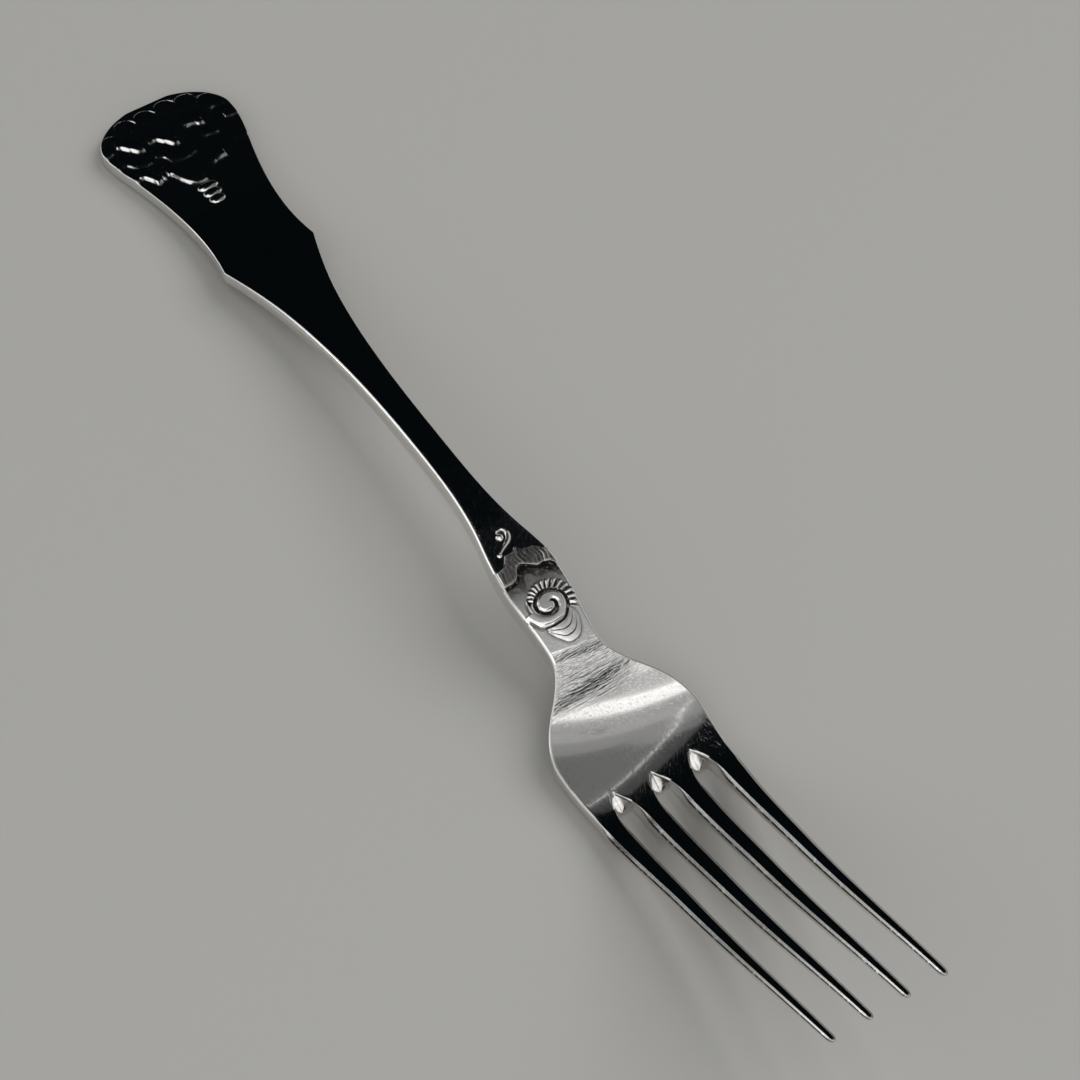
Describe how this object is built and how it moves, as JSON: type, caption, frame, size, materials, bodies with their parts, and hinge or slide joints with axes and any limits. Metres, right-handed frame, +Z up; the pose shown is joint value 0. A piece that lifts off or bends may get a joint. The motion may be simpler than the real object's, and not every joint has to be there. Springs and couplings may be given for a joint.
{
  "type": "dinner fork",
  "caption": "Polished silver dinner fork with long tapered tines, dished bowl, spiral shell ornament on an arched stem and a wide handle end with rows of waves.",
  "frame": {"origin": "on the table, under the middle of the fork's length and width", "axes": "+X along the fork from the end of the handle to the tines, +Z up, with the fork lying on its back and the tines up"},
  "size_m": [0.191, 0.0223, 0.0205],
  "materials": {
    "polished_silver": "polished silver with fine scratches from use",
    "struck_silver": "polished silver in relief, with dark tarnish in the recesses"
  },
  "bodies": {
    "root": {"wave_field": "struck_silver", "drop_panel": "struck_silver", "handle_waist": "polished_silver", "shoulders": "polished_silver", "stem": "polished_silver", "curl_panel": "struck_silver", "frill": "struck_silver", "shell": "struck_silver", "shell_point": "struck_silver", "neck": "polished_silver", "bowl": "polished_silver", "tine_roots": "polished_silver", "tine_1": "polished_silver", "tine_2": "polished_silver", "tine_3": "polished_silver", "tine_4": "polished_silver"}
  },
  "joints": []
}
